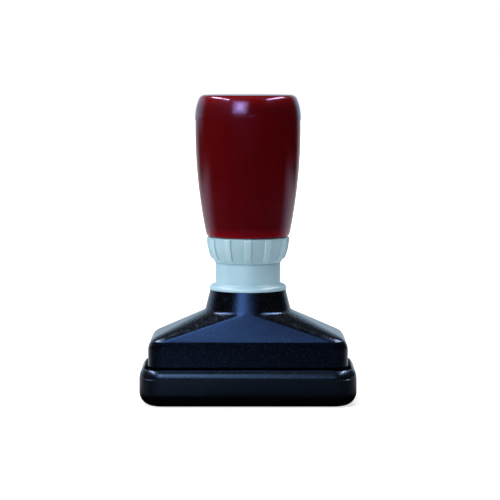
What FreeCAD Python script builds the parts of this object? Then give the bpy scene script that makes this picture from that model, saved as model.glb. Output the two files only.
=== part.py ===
import FreeCAD, Part
import math
import os

# A hand-held pre-inked stamp standing in its dust cap.
# Millimetres, +Z up, origin at the centre of the cap's underside, +X along the long side, -Y is the front.

# Clearances that the fits share
sliding_fit = 0.08
loose_gap = 0.3
seat_gap = 0.02

# Values that several pieces share: inner corners, cutters' overshoot, a rounding's largest share of its edge
inner_corner = 0.5
overshoot = 1.0
rounding_limit = 0.95
level_tolerance = 1e-4

# Outer housing: skirt, hipped roof and neck in one moulding
housing_width = 59.1
housing_depth = 28.3
housing_corner_radius = 4.6
housing_wall = 1.8
skirt_height = 15.2
roof_height = 8.15
neck_height = 6.15
neck_front_setback = 1.35
neck_taper = 1.5
side_eave_rounding = 4.5
front_eave_rounding = 1.0
roof_flat_angle = 4.0
cavity_drop_share = 0.7
neck_ledge_share = 0.3

# Dust cap
cap_wall = 2.5
cap_floor = 2.0
cap_ledge_height = 2.0
cap_ledge_width = 1.7
cap_height = 10.95
cap_bottom_rounding = 4.0
cap_shoulder_rounding = 3.4
cap_shoulder_draw = 1.0
cap_mouth_flare = 1.2
cap_mouth_flare_height = 4.0

# Guide sleeve and its nut
sleeve_wall = 1.8
sleeve_tail_wall = 1.4
sleeve_rise = 8.5
sleeve_tail_length = 9.0
sleeve_tail_step = 0.7
sleeve_web_thickness = 3.5
sleeve_web_rise = 0.7
flange_overhang = 0.25
flange_ledge = 1.85
flange_thickness = 1.6
flange_lip_rounding = 1.3
flange_root_fillet = 0.45
flange_foot_bevel = 0.15
sleeve_nut_height = 2.2
sleeve_nut_notches = 4
sleeve_nut_notch_width = 2.0
sleeve_nut_notch_share = 0.6

# Plunger rod, its travel and its thread ends
stroke = 4.0
rod_coil_share = 7 / 11
rod_shoulder = 1.0
rod_bevel = 0.4
insert_wall = 2.0
insert_length = 10.0
insert_groove_depth = 0.4
insert_groove_width = 0.8
insert_grooves = 3

# Adjusting ring and its stop nut
ring_shoulder = 1.45
ring_height = 7.6
ring_foot_rim = 0.34
ring_foot_edge = 0.08
ring_standoff = 6.6
ring_ribs = 12
ring_rib_angle = 11.0
ring_rib_height = 0.45
ring_rib_foot_gap = 0.9
ring_hub_wall = 1.22
ring_hub_margin = 1.2
ring_hub_lip = 0.3
ring_hub_lip_height = 0.9
ring_play = 0.1
stop_nut_inset = 0.1
stop_nut_height = 3.5
stop_nut_keys = 3
stop_nut_key_width = 2.4
stop_nut_key_depth = 0.6
stop_nut_key_root = 0.3
nut_travel = 1.5
o_ring_thickness = 0.8
o_ring_height_in_hub = 2.2
o_ring_groove_height = 0.88

# Grip
grip_gap = 0.25
grip_height = 41.9
grip_bulge = 3.36
grip_bulge_height = 32.8
grip_top_draw = 0.35
grip_rim_rounding = 3.1
grip_foot_rounding = 0.5
grip_bore_step = 0.6
grip_bore_spare = 1.0

# Grip core
spigot_wall = 1.25
spigot_overlap = 1.5
core_height = 17.5
core_hub_gap = 1.7
core_wall = 1.8
core_web_thickness = 3.2
core_boss_wall = 1.7
core_ribs = 4
core_rib_width = 1.4

# Return spring and its washers
spring_wire_radius = 0.45
spring_side_gap = 0.62
spring_turns = 8
washer_thickness = 0.6

# Die carrier and what it holds
carrier_gap = 0.3
carrier_wall = 1.6
carrier_roof = 1.8
carrier_boss_gap = 1.2
carrier_rib_width = 1.6
carrier_rib_height = 2.6
die_recess = 3.2
die_face_height = 1.2
die_body_height = 2.0
pad_height = 4.8
frame_thickness = 1.4
frame_lip = 0.6
frame_border = 3.2
buffer_thickness = 1.5
carrier_nut_wall = 1.5
carrier_nut_height = 4.0
carrier_washer_width = 2.4
carrier_washer_thickness = 0.5
fill_hole_radius = 2.3
fill_hole_offset = 15.0
fill_plug_head_radius = 3.2
fill_plug_head_height = 1.0
screw_post = 4.2
screw_inset = 2.1
screw_radius = 0.7
screw_head_radius = 1.25
screw_head_height = 0.7
screw_length = 5.0
screw_slot = 0.3

# Sizes that follow from the ones above
housing_half_x = housing_width / 2
housing_half_y = housing_depth / 2
skirt_edge_z = cap_floor + cap_ledge_height
eave_z = skirt_edge_z + skirt_height
neck_bottom_z = eave_z + roof_height
neck_top_z = neck_bottom_z + neck_height
flange_top_z = neck_top_z + flange_thickness
sleeve_top_z = flange_top_z + sleeve_rise
sleeve_tail_z = neck_top_z - sleeve_tail_length
web_top_z = neck_top_z + sleeve_web_rise
web_bottom_z = web_top_z - sleeve_web_thickness
cavity_half_x = housing_half_x - housing_wall
cavity_half_y = housing_half_y - housing_wall
cavity_corner_radius = max(housing_corner_radius - housing_wall, inner_corner)
neck_bottom_radius = housing_half_y - neck_front_setback
neck_top_radius = neck_bottom_radius - neck_taper
cavity_neck_radius = neck_bottom_radius - housing_wall
flange_radius = neck_top_radius + flange_overhang
sleeve_radius = flange_radius - flange_ledge
sleeve_bore_radius = sleeve_radius - sleeve_wall
sleeve_tail_radius = sleeve_radius - sleeve_tail_step
sleeve_tail_bore = sleeve_tail_radius - sleeve_tail_wall
sleeve_nut_radius = cavity_neck_radius - loose_gap
stop_nut_radius = sleeve_radius - stop_nut_inset
thread_bore_radius = stop_nut_radius + sliding_fit
ring_hub_radius = thread_bore_radius + ring_hub_wall
ring_radius = ring_hub_radius + ring_shoulder
ring_bore_radius = sleeve_radius + sliding_fit
ring_foot_radius = ring_bore_radius + ring_foot_rim
ring_recess_radius = ring_radius - ring_rib_height
grip_foot_radius = ring_radius
grip_bulge_radius = grip_foot_radius + grip_bulge
grip_top_radius = grip_bulge_radius - grip_top_draw
grip_bore_radius = ring_hub_radius - grip_bore_step
spigot_radius = sleeve_bore_radius - sliding_fit
spigot_bore_radius = spigot_radius - spigot_wall
spring_coil_radius = spigot_bore_radius - spring_side_gap - spring_wire_radius
carrier_boss_radius = sleeve_tail_bore - carrier_boss_gap
rod_radius = spring_coil_radius * rod_coil_share
rod_end_radius = rod_radius - rod_shoulder
insert_radius = rod_end_radius + insert_wall
carrier_nut_flats = 2 * (rod_end_radius + carrier_nut_wall)
carrier_washer_radius = rod_end_radius + carrier_washer_width
ring_foot_z = flange_top_z + ring_standoff
ring_top_z = ring_foot_z + ring_height
grip_foot_z = ring_top_z + grip_gap
grip_top_z = grip_foot_z + grip_height
spigot_foot_z = sleeve_top_z - spigot_overlap
boss_radius = insert_radius + core_boss_wall
rod_bore_radius = rod_radius + sliding_fit
stop_nut_foot_z = sleeve_top_z + stroke + seat_gap
stop_nut_top_z = stop_nut_foot_z + stop_nut_height
hub_top_z = stop_nut_top_z + nut_travel + ring_hub_margin
hub_lip_z = hub_top_z - ring_hub_lip_height
core_foot_z = hub_top_z + core_hub_gap
core_top_z = core_foot_z + core_height
insert_foot_z = core_foot_z + core_web_thickness
buffer_foot_z = web_bottom_z - buffer_thickness - seat_gap
die_face_z = skirt_edge_z + die_recess
die_body_z = die_face_z + die_face_height
pad_foot_z = die_body_z + die_body_height
carrier_roof_z = pad_foot_z + pad_height
carrier_top_z = carrier_roof_z + carrier_roof
carrier_half_x = cavity_half_x - carrier_gap
carrier_half_y = cavity_half_y - carrier_gap
frame_foot_z = die_body_z - frame_lip
pad_half_x = carrier_half_x - carrier_wall - seat_gap
pad_half_y = carrier_half_y - carrier_wall - seat_gap

up = FreeCAD.Vector(0, 0, 1)
centre = FreeCAD.Vector(0, 0, 0)


def turned(path):
    """Solid turned about the stamp's axis; a pair is a corner, four numbers are an arc by way of a point."""
    edges = []
    here = FreeCAD.Vector(path[0][0], 0, path[0][1])
    for step in path[1:] + path[:1]:
        there = FreeCAD.Vector(step[-2], 0, step[-1])
        if len(step) == 4:
            middle = FreeCAD.Vector(step[0], 0, step[1])
            edges.append(Part.Arc(here, middle, there).toShape())
        else:
            edges.append(Part.LineSegment(here, there).toShape())
        here = there
    return Part.Face(Part.Wire(edges)).revolve(centre, up, 360)


def ring_solid(outer_radius, inner_radius, low_z, high_z):
    """Plain ring, or a disc where the inner radius is zero."""
    place = FreeCAD.Vector(0, 0, low_z)
    disc = Part.makeCylinder(outer_radius, high_z - low_z, place)
    if inner_radius == 0:
        return disc
    return disc.cut(Part.makeCylinder(inner_radius, high_z - low_z, place))


def rounded_rectangle(half_x, half_y, radius, z):
    """Rectangle with round corners: side, corner, side, corner, starting at the front side."""
    edges = []
    corners = [(1, -1, -90), (1, 1, 0), (-1, 1, 90), (-1, -1, 180)]
    here = FreeCAD.Vector(radius - half_x, -half_y, z)
    for side_x, side_y, start_angle in corners:
        pivot = FreeCAD.Vector(side_x * (half_x - radius), side_y * (half_y - radius), z)
        points = [pivot + spoke(radius, start_angle + turn) for turn in (0, 45, 90)]
        edges.append(Part.LineSegment(here, points[0]).toShape())
        edges.append(Part.Arc(*points).toShape())
        here = points[2]
    return Part.Wire(edges)


def spoke(radius, angle):
    """Level vector of a length and a direction in degrees."""
    return FreeCAD.Vector(radius * math.cos(math.radians(angle)), radius * math.sin(math.radians(angle)), 0)


def split_circle(radius, z, side_angle):
    """Circle cut into eight arcs: a short one over each flat side and a long one over each corner."""
    edges = []
    for quarter in range(4):
        side_start = quarter * 90 - 90 - side_angle / 2
        for start_angle, turn in ((side_start, side_angle), (side_start + side_angle, 90 - side_angle)):
            points = [spoke(radius, start_angle + turn * share) for share in (0, 0.5, 1)]
            edges.append(Part.Arc(*[point + up * z for point in points]).toShape())
    return Part.Wire(edges)


def block(half_x, half_y, radius, low_z, high_z):
    """Upright block with round corners."""
    face = Part.Face(rounded_rectangle(half_x, half_y, radius, low_z))
    return face.extrude(up * (high_z - low_z))


def hipped_roof(half_x, half_y, radius, low_z, circle_radius, high_z):
    """Roof that runs from a rounded rectangle to a circle."""
    eave = rounded_rectangle(half_x, half_y, radius, low_z)
    collar = split_circle(circle_radius, high_z, roof_flat_angle)
    return Part.makeLoft([eave, collar], True, True)


def eave_trimmer(half_width, rounding, half_length, across, along):
    """Long bar with the roof's outline and two rounded eaves, which rounds a pair of the roof's eaves."""
    side = [(half_width, 0), (half_width, eave_z),
            (neck_bottom_radius, neck_bottom_z), (neck_bottom_radius, neck_top_z)]
    outline = side + [(-x, z) for x, z in reversed(side)] + side[:1]
    points = [across * x - along * half_length + up * z for x, z in outline]
    bar = Part.Face(Part.makePolygon(points)).extrude(along * (2 * half_length))
    return bar.makeFillet(rounding, level_edges(bar, eave_z))


def make_outer_housing():
    """Skirt, roof and neck; hollow for the carrier and bored for the guide sleeve."""
    skirt = block(housing_half_x, housing_half_y, housing_corner_radius, skirt_edge_z, eave_z)
    roof = hipped_roof(housing_half_x, housing_half_y, housing_corner_radius, eave_z,
                       neck_bottom_radius, neck_bottom_z)
    body = skirt.fuse(roof)
    along_x = FreeCAD.Vector(1, 0, 0)
    along_y = FreeCAD.Vector(0, 1, 0)
    body = body.common(eave_trimmer(housing_half_x, side_eave_rounding, housing_depth, along_x, along_y))
    body = body.common(eave_trimmer(housing_half_y, front_eave_rounding, housing_width, along_y, along_x))
    neck = Part.makeCone(neck_bottom_radius, neck_top_radius, neck_height, up * neck_bottom_z)
    body = body.fuse(neck)
    cavity_eave_z = eave_z - housing_wall * cavity_drop_share
    cavity_neck_z = neck_bottom_z - housing_wall * cavity_drop_share
    cavity = block(cavity_half_x, cavity_half_y, cavity_corner_radius, skirt_edge_z, cavity_eave_z)
    cavity = cavity.fuse(hipped_roof(cavity_half_x, cavity_half_y, cavity_corner_radius, cavity_eave_z,
                                     cavity_neck_radius, cavity_neck_z))
    ledge_z = neck_bottom_z + sleeve_nut_seat()
    cavity = cavity.fuse(ring_solid(cavity_neck_radius, 0, cavity_neck_z, ledge_z))
    bore = ring_solid(sleeve_tail_radius + seat_gap, 0, ledge_z, neck_top_z)
    return body.cut(cavity.fuse(bore)).removeSplitter()


def sleeve_nut_seat():
    """Height of the ledge that the sleeve nut pulls against, above the neck's foot."""
    return neck_height * neck_ledge_share


def make_dust_cap():
    """Cap with a rounded shoulder, a flared mouth, a large bottom rounding and a ledge for the skirt."""
    half_x = housing_half_x + sliding_fit + cap_wall
    half_y = housing_half_y + sliding_fit + cap_wall
    corner = housing_corner_radius + sliding_fit + cap_wall
    crest_rise = math.sqrt(cap_shoulder_rounding ** 2 - (cap_shoulder_rounding - cap_shoulder_draw) ** 2)
    uncut_height = cap_height + cap_shoulder_rounding - crest_rise
    cap = block(half_x, half_y, corner, 0, uncut_height)
    rounding = min(cap_bottom_rounding, corner * rounding_limit)
    cap = cap.makeFillet(rounding, level_edges(cap, 0))
    cap = cap.makeFillet(cap_shoulder_rounding, level_edges(cap, uncut_height))
    cap = cap.cut(block(half_x, half_y, corner, cap_height, uncut_height + overshoot))
    flare_foot_z = cap_height - cap_mouth_flare_height
    mouth_size = (housing_half_x + sliding_fit, housing_half_y + sliding_fit,
                  housing_corner_radius + sliding_fit)
    mouth = block(*mouth_size, skirt_edge_z, flare_foot_z)
    flared_size = [length + cap_mouth_flare for length in mouth_size]
    flare = Part.makeLoft([rounded_rectangle(*mouth_size, flare_foot_z),
                           rounded_rectangle(*flared_size, cap_height)], True, True)
    well = block(housing_half_x - cap_ledge_width, housing_half_y - cap_ledge_width,
                 max(housing_corner_radius - cap_ledge_width, inner_corner), cap_floor, skirt_edge_z)
    return cap.cut(mouth.fuse([flare, well])).removeSplitter()


def level_edges(shape, z):
    """Edges that lie level at a height."""
    return [edge for edge in shape.Edges
            if abs(edge.BoundBox.ZMin - z) < level_tolerance
            and abs(edge.BoundBox.ZMax - z) < level_tolerance]


def make_guide_sleeve():
    """Sleeve with the flange that sits on the neck, a web that carries the spring and a tail for the nut."""
    lip = flange_lip_rounding
    diagonal = math.sqrt(0.5)
    fillet_radius = sleeve_radius + flange_root_fillet
    fillet_z = flange_top_z + flange_root_fillet
    return turned([
        (rod_bore_radius, web_bottom_z),
        (sleeve_tail_bore, web_bottom_z),
        (sleeve_tail_bore, sleeve_tail_z),
        (sleeve_tail_radius, sleeve_tail_z),
        (sleeve_tail_radius, neck_top_z),
        (flange_radius - flange_foot_bevel, neck_top_z),
        (flange_radius, neck_top_z + flange_foot_bevel),
        (flange_radius, flange_top_z - lip),
        (flange_radius - lip * (1 - diagonal), flange_top_z - lip * (1 - diagonal),
         flange_radius - lip, flange_top_z),
        (fillet_radius, flange_top_z),
        (fillet_radius - flange_root_fillet * diagonal, fillet_z - flange_root_fillet * diagonal,
         sleeve_radius, fillet_z),
        (sleeve_radius, sleeve_top_z),
        (sleeve_bore_radius, sleeve_top_z),
        (sleeve_bore_radius, web_top_z),
        (rod_bore_radius, web_top_z),
    ])


def make_sleeve_nut():
    """Round nut with spanner notches that pulls the sleeve down on the neck."""
    ledge_z = neck_bottom_z + sleeve_nut_seat()
    foot_z = ledge_z - sleeve_nut_height
    nut = ring_solid(sleeve_nut_radius, sleeve_tail_radius + seat_gap, foot_z, ledge_z)
    depth = (sleeve_nut_radius - sleeve_tail_radius) * sleeve_nut_notch_share
    for index in range(sleeve_nut_notches):
        notch = Part.makeBox(depth * 2, sleeve_nut_notch_width, sleeve_nut_height / 2,
                             FreeCAD.Vector(sleeve_nut_radius - depth, -sleeve_nut_notch_width / 2, foot_z))
        notch.rotate(centre, up, index * 360 / sleeve_nut_notches)
        nut = nut.cut(notch)
    return nut


def ring_barrel(top_radius, foot_radius):
    """Barrel that curves in from an upright top to its foot, around the sleeve."""
    pull = top_radius - foot_radius
    arc_radius = (ring_height ** 2 + pull ** 2) / (2 * pull)
    half_angle = math.asin(ring_height / arc_radius) / 2
    return turned([
        (thread_bore_radius, ring_foot_z),
        (foot_radius, ring_foot_z),
        (top_radius - arc_radius * (1 - math.cos(half_angle)), ring_top_z - arc_radius * math.sin(half_angle),
         top_radius, ring_top_z),
        (thread_bore_radius, ring_top_z),
    ])


def make_adjusting_ring():
    """Ribbed ring with a hub that snaps into the grip's mouth and a thread for the stop nut."""
    crest = ring_barrel(ring_radius, ring_foot_radius)
    barrel = ring_barrel(ring_recess_radius, ring_bore_radius + ring_foot_edge)
    ribs = []
    for index in range(ring_ribs):
        wedge = Part.makeCylinder(ring_radius + overshoot, ring_height - ring_rib_foot_gap,
                                  FreeCAD.Vector(0, 0, ring_foot_z + ring_rib_foot_gap), up, ring_rib_angle)
        wedge.rotate(centre, up, index * 360 / ring_ribs - 90 - ring_rib_angle / 2)
        ribs.append(crest.common(wedge))
    body = barrel.fuse(ribs)
    groove_low_z = ring_top_z + o_ring_height_in_hub - o_ring_groove_height / 2
    groove_high_z = groove_low_z + o_ring_groove_height
    groove_radius = ring_hub_radius - o_ring_thickness
    hub = turned([
        (thread_bore_radius, ring_top_z),
        (ring_hub_radius, ring_top_z),
        (ring_hub_radius, groove_low_z),
        (groove_radius, groove_low_z),
        (groove_radius, groove_high_z),
        (ring_hub_radius, groove_high_z),
        (ring_hub_radius, hub_lip_z),
        (ring_hub_radius + ring_hub_lip, hub_lip_z),
        (ring_hub_radius, hub_top_z),
        (thread_bore_radius, hub_top_z),
    ])
    body = body.fuse(hub)
    return body.cut(ring_solid(ring_bore_radius, 0, ring_foot_z, stop_nut_foot_z)).removeSplitter()


def make_ring_o_ring():
    """Rubber ring in the hub's groove; it rubs in the grip's mouth."""
    radius = o_ring_thickness / 2
    return Part.makeTorus(ring_hub_radius - radius, radius - seat_gap,
                          FreeCAD.Vector(0, 0, ring_top_z + o_ring_height_in_hub))


def key_bars(radius, width, depth, low_z, high_z):
    """Three bars that stand in from a round wall, one for each key."""
    bars = []
    for index in range(stop_nut_keys):
        bar = Part.makeBox(depth, width, high_z - low_z, FreeCAD.Vector(radius - depth, -width / 2, low_z))
        bar.rotate(centre, up, index * 360 / stop_nut_keys + 90)
        bars.append(bar)
    return bars


def make_stop_nut():
    """Nut that can't turn: its keys slide in the spigot's slots, and its foot meets the sleeve's rim."""
    bore = spigot_radius + sliding_fit
    nut = ring_solid(stop_nut_radius, bore, stop_nut_foot_z, stop_nut_top_z)
    bars = key_bars(bore + stop_nut_key_root, stop_nut_key_width, stop_nut_key_depth + stop_nut_key_root,
                    stop_nut_foot_z, stop_nut_top_z)
    return nut.fuse(bars).removeSplitter()


def make_grip():
    """Barrel grip, hollow from below, with the bead in its mouth that holds the ring's hub."""
    bulge_z = grip_foot_z + grip_bulge_height
    pull = grip_bulge_radius - grip_foot_radius
    flank_radius = (grip_bulge_height ** 2 + pull ** 2) / (2 * pull)
    half_angle = math.asin(grip_bulge_height / flank_radius) / 2
    flank_middle = (grip_bulge_radius - flank_radius * (1 - math.cos(half_angle)),
                    bulge_z - flank_radius * math.sin(half_angle))
    rise = grip_height - grip_bulge_height
    draw = grip_bulge_radius - grip_top_radius
    crown_radius = (rise ** 2 + draw ** 2) / (2 * draw)
    crown_angle = math.asin(rise / crown_radius) / 2
    crown_middle = (grip_bulge_radius - crown_radius * (1 - math.cos(crown_angle)),
                    bulge_z + crown_radius * math.sin(crown_angle))
    barrel = turned([
        (0, grip_foot_z),
        (grip_foot_radius, grip_foot_z),
        (*flank_middle, grip_bulge_radius, bulge_z),
        (*crown_middle, grip_top_radius, grip_top_z),
        (0, grip_top_z),
    ])
    barrel = barrel.makeFillet(grip_rim_rounding, level_edges(barrel, grip_top_z))
    barrel = barrel.makeFillet(grip_foot_rounding, level_edges(barrel, grip_foot_z))
    mouth_radius = ring_hub_radius + sliding_fit
    room_radius = ring_hub_radius + ring_hub_lip + sliding_fit
    hollow = turned([
        (0, grip_foot_z),
        (mouth_radius, grip_foot_z),
        (mouth_radius, hub_lip_z - ring_play),
        (room_radius, hub_lip_z - ring_play),
        (room_radius, core_foot_z),
        (grip_bore_radius, core_foot_z),
        (grip_bore_radius, core_top_z + grip_bore_spare),
        (0, core_top_z + grip_bore_spare),
    ])
    return barrel.cut(hollow)


def make_grip_core():
    """Plug pressed into the grip, with a boss for the insert and a spigot that telescopes into the sleeve."""
    plug_radius = grip_bore_radius - seat_gap
    web_top = core_foot_z + core_web_thickness
    plug = turned([
        (rod_bore_radius, core_foot_z),
        (spigot_bore_radius, core_foot_z),
        (spigot_bore_radius, spigot_foot_z),
        (spigot_radius, spigot_foot_z),
        (spigot_radius, core_foot_z),
        (plug_radius, core_foot_z),
        (plug_radius, core_top_z),
        (plug_radius - core_wall, core_top_z),
        (plug_radius - core_wall, web_top),
        (rod_bore_radius, web_top),
    ])
    plug = plug.fuse(ring_solid(boss_radius, insert_radius + seat_gap, web_top, web_top + insert_length))
    for index in range(core_ribs):
        rib = Part.makeBox(plug_radius - core_wall / 2 - boss_radius + core_boss_wall / 2, core_rib_width,
                           insert_length - core_rib_width,
                           FreeCAD.Vector(boss_radius - core_boss_wall / 2, -core_rib_width / 2, web_top))
        rib.rotate(centre, up, index * 360 / core_ribs + 45)
        plug = plug.fuse(rib)
    slots = key_bars(spigot_radius + sliding_fit, stop_nut_key_width + 2 * sliding_fit,
                     stop_nut_key_depth + 2 * sliding_fit,
                     stop_nut_foot_z - loose_gap, core_foot_z - loose_gap)
    for slot in slots:
        plug = plug.cut(slot)
    return plug.removeSplitter()


def make_threaded_insert():
    """Brass insert with holding grooves, bored for the rod's threaded end."""
    insert = ring_solid(insert_radius, rod_end_radius + seat_gap,
                        insert_foot_z, insert_foot_z + insert_length)
    step = insert_length / (insert_grooves + 1)
    for index in range(insert_grooves):
        low_z = insert_foot_z + step * (index + 1) - insert_groove_width / 2
        insert = insert.cut(ring_solid(insert_radius + overshoot, insert_radius - insert_groove_depth,
                                       low_z, low_z + insert_groove_width))
    return insert


def make_plunger_rod():
    """Steel rod with a thinner threaded end in the insert and another through the carrier's boss."""
    shank_foot_z = buffer_foot_z
    thread_foot_z = carrier_roof_z + carrier_washer_thickness
    thread_top_z = insert_foot_z + insert_length - rod_bevel
    return turned([
        (0, thread_foot_z),
        (rod_end_radius - rod_bevel, thread_foot_z),
        (rod_end_radius, thread_foot_z + rod_bevel),
        (rod_end_radius, shank_foot_z),
        (rod_radius, shank_foot_z),
        (rod_radius, insert_foot_z),
        (rod_end_radius, insert_foot_z),
        (rod_end_radius, thread_top_z - rod_bevel),
        (rod_end_radius - rod_bevel, thread_top_z),
        (0, thread_top_z),
    ])


def helix_point(turn, low_z, pitch):
    """Point on the spring's centre line and its direction there, a number of turns from the foot."""
    angle = 2 * math.pi * turn
    point = FreeCAD.Vector(spring_coil_radius * math.cos(angle), spring_coil_radius * math.sin(angle),
                           low_z + pitch * turn)
    way = FreeCAD.Vector(-spring_coil_radius * math.sin(angle), spring_coil_radius * math.cos(angle),
                         pitch / (2 * math.pi))
    return point, way.normalize()


def arc_middle(start, way, end):
    """Middle point of the arc that leaves a point in a direction and ends at another."""
    chord = end - start
    chord_way = FreeCAD.Vector(chord).normalize()
    half_way = (way + chord_way).normalize()
    return start + half_way * (chord.Length / 2 / half_way.dot(chord_way))


def make_return_spring():
    """Round-wire compression spring between its two washers, as quarter turns of two arcs each."""
    low_z = web_top_z + washer_thickness + spring_wire_radius + seat_gap
    high_z = core_foot_z - washer_thickness - spring_wire_radius - seat_gap
    pitch = (high_z - low_z) / spring_turns
    edges = []
    for quarter in range(spring_turns * 4):
        start, start_way = helix_point(quarter / 4, low_z, pitch)
        end, end_way = helix_point((quarter + 1) / 4, low_z, pitch)
        span = end - start
        spread = 2 * (1 - start_way.dot(end_way))
        both = start_way + end_way
        reach = (math.sqrt(span.dot(both) ** 2 + spread * span.dot(span)) - span.dot(both)) / spread
        join = (start + start_way * reach + end - end_way * reach) * 0.5
        edges.append(Part.Arc(start, arc_middle(start, start_way, join), join).toShape())
        edges.append(Part.Arc(join, arc_middle(end, end_way * -1, join), end).toShape())
    path = Part.Wire(edges)
    start, way = helix_point(0, low_z, pitch)
    circle = Part.Wire(Part.Circle(start, way, spring_wire_radius).toShape())
    print("least gap between the spring's turns", round(pitch - 2 * spring_wire_radius, 3))
    return path.makePipeShell([circle], True, False)


def make_lower_spring_washer():
    """Steel washer on the sleeve's web."""
    return ring_solid(sleeve_bore_radius - loose_gap, rod_radius + loose_gap,
                      web_top_z, web_top_z + washer_thickness)


def make_upper_spring_washer():
    """Steel washer under the core's web."""
    return ring_solid(spigot_bore_radius - loose_gap, rod_radius + loose_gap,
                      core_foot_z - washer_thickness, core_foot_z)


def make_buffer_washer():
    """Rubber washer that the plunger comes to rest against."""
    return ring_solid(carrier_boss_radius - loose_gap, rod_radius + seat_gap, buffer_foot_z,
                      buffer_foot_z + buffer_thickness)


def screw_places():
    """Centres of the four frame screws."""
    reach_x = carrier_half_x - screw_inset
    reach_y = carrier_half_y - screw_inset
    return [FreeCAD.Vector(side_x * reach_x, side_y * reach_y, 0) for side_x in (1, -1) for side_y in (1, -1)]


def make_die_carrier():
    """Open-bottomed box with a boss for the rod, filling holes and a post in each corner for a screw."""
    corner = max(cavity_corner_radius - carrier_gap, inner_corner)
    foot_z = frame_foot_z + frame_thickness
    shell = block(carrier_half_x, carrier_half_y, corner, foot_z, carrier_top_z)
    room = block(carrier_half_x - carrier_wall, carrier_half_y - carrier_wall, inner_corner,
                 foot_z, carrier_roof_z)
    posts = []
    for side_x in (1, -1):
        for side_y in (1, -1):
            post = Part.makeBox(screw_post, screw_post, carrier_roof_z - foot_z,
                                FreeCAD.Vector(-screw_post / 2, -screw_post / 2, foot_z))
            post.translate(FreeCAD.Vector(side_x * (carrier_half_x - screw_post / 2),
                                          side_y * (carrier_half_y - screw_post / 2), 0))
            posts.append(post)
    for post in posts:
        room = room.cut(post)
    shell = shell.cut(room)
    shell = shell.fuse(ring_solid(carrier_boss_radius, 0, carrier_top_z, buffer_foot_z))
    roof_slope = roof_height / (housing_half_x - neck_bottom_radius)
    rib_reach = cavity_half_x - carrier_rib_height / roof_slope - carrier_wall
    rib = Part.makeBox(2 * rib_reach, carrier_rib_width, carrier_rib_height,
                       FreeCAD.Vector(-rib_reach, -carrier_rib_width / 2, carrier_top_z))
    for side in (1, -1):
        rib = rib.cut(Part.makeCylinder(fill_plug_head_radius + loose_gap, carrier_rib_height,
                                        FreeCAD.Vector(side * fill_hole_offset, 0, carrier_top_z)))
    shell = shell.fuse(rib)
    shell = shell.cut(ring_solid(rod_end_radius + seat_gap, 0, carrier_roof_z, buffer_foot_z))
    pocket_height = carrier_nut_height + carrier_washer_thickness
    shell = shell.cut(ring_solid(carrier_washer_radius + seat_gap, 0, carrier_roof_z,
                                 carrier_roof_z + pocket_height))
    for side in (1, -1):
        shell = shell.cut(Part.makeCylinder(fill_hole_radius, carrier_roof + overshoot,
                                            FreeCAD.Vector(side * fill_hole_offset, 0, carrier_roof_z)))
    for place in screw_places():
        hole_depth = screw_length + loose_gap
        shell = shell.cut(Part.makeCylinder(screw_radius + seat_gap, hole_depth, place + up * foot_z))
    return shell.removeSplitter()


def make_carrier_nut():
    """Hexagon nut on the rod's lower end, in the carrier's pocket."""
    corner_radius = carrier_nut_flats / math.sqrt(3)
    low = carrier_roof_z + loose_gap
    points = [spoke(corner_radius, 60 * index) + up * low for index in range(7)]
    nut = Part.Face(Part.makePolygon(points)).extrude(up * (carrier_nut_height - loose_gap))
    return nut.cut(ring_solid(rod_end_radius + seat_gap, 0, low, low + carrier_nut_height))


def make_carrier_washer():
    """Steel washer between the nut and the floor of its pocket."""
    low_z = carrier_roof_z + carrier_nut_height
    return ring_solid(carrier_washer_radius, rod_end_radius + seat_gap,
                      low_z, low_z + carrier_washer_thickness)


def make_ink_fill_plugs():
    """Rubber plugs in the carrier's filling holes."""
    plugs = []
    for side in (1, -1):
        place = FreeCAD.Vector(side * fill_hole_offset, 0, carrier_roof_z)
        stem = Part.makeCylinder(fill_hole_radius - seat_gap, carrier_roof, place)
        head = Part.makeCylinder(fill_plug_head_radius, fill_plug_head_height, place + up * carrier_roof)
        plugs.append(stem.fuse(head).removeSplitter())
    return Part.makeCompound(plugs)


def without_posts(shape):
    """Cuts a pad's corners back from the carrier's screw posts."""
    for side_x in (1, -1):
        for side_y in (1, -1):
            size = screw_post + seat_gap
            notch = Part.makeBox(size, size, carrier_top_z)
            notch.translate(FreeCAD.Vector(side_x * carrier_half_x - (size if side_x > 0 else 0),
                                           side_y * carrier_half_y - (size if side_y > 0 else 0), 0))
            shape = shape.cut(notch)
    return shape


def make_ink_pad():
    """Foam block that feeds the die with ink."""
    return without_posts(block(pad_half_x, pad_half_y, inner_corner, pad_foot_z, carrier_roof_z))


def make_stamp_die():
    """Printing foam: a body inside the carrier and a face that stands through the frame's window."""
    body = without_posts(block(pad_half_x, pad_half_y, inner_corner, die_body_z, pad_foot_z))
    face = block(carrier_half_x - frame_border - loose_gap, carrier_half_y - frame_border - loose_gap,
                 inner_corner, die_face_z, die_body_z)
    return body.fuse(face).removeSplitter()


def make_die_frame():
    """Thin frame screwed under the carrier that clamps the die's edges."""
    corner = max(cavity_corner_radius - carrier_gap, inner_corner)
    frame = block(carrier_half_x, carrier_half_y, corner, frame_foot_z, frame_foot_z + frame_thickness)
    window = block(carrier_half_x - frame_border, carrier_half_y - frame_border, inner_corner,
                   frame_foot_z, frame_foot_z + frame_thickness)
    frame = frame.cut(window)
    rebate = without_posts(block(pad_half_x, pad_half_y, inner_corner,
                                 die_body_z, frame_foot_z + frame_thickness))
    frame = frame.cut(rebate)
    for place in screw_places():
        foot = place + up * frame_foot_z
        frame = frame.cut(Part.makeCylinder(screw_radius + seat_gap, frame_thickness, foot))
        frame = frame.cut(Part.makeCylinder(screw_head_radius + seat_gap, screw_head_height, foot))
    return frame


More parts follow.
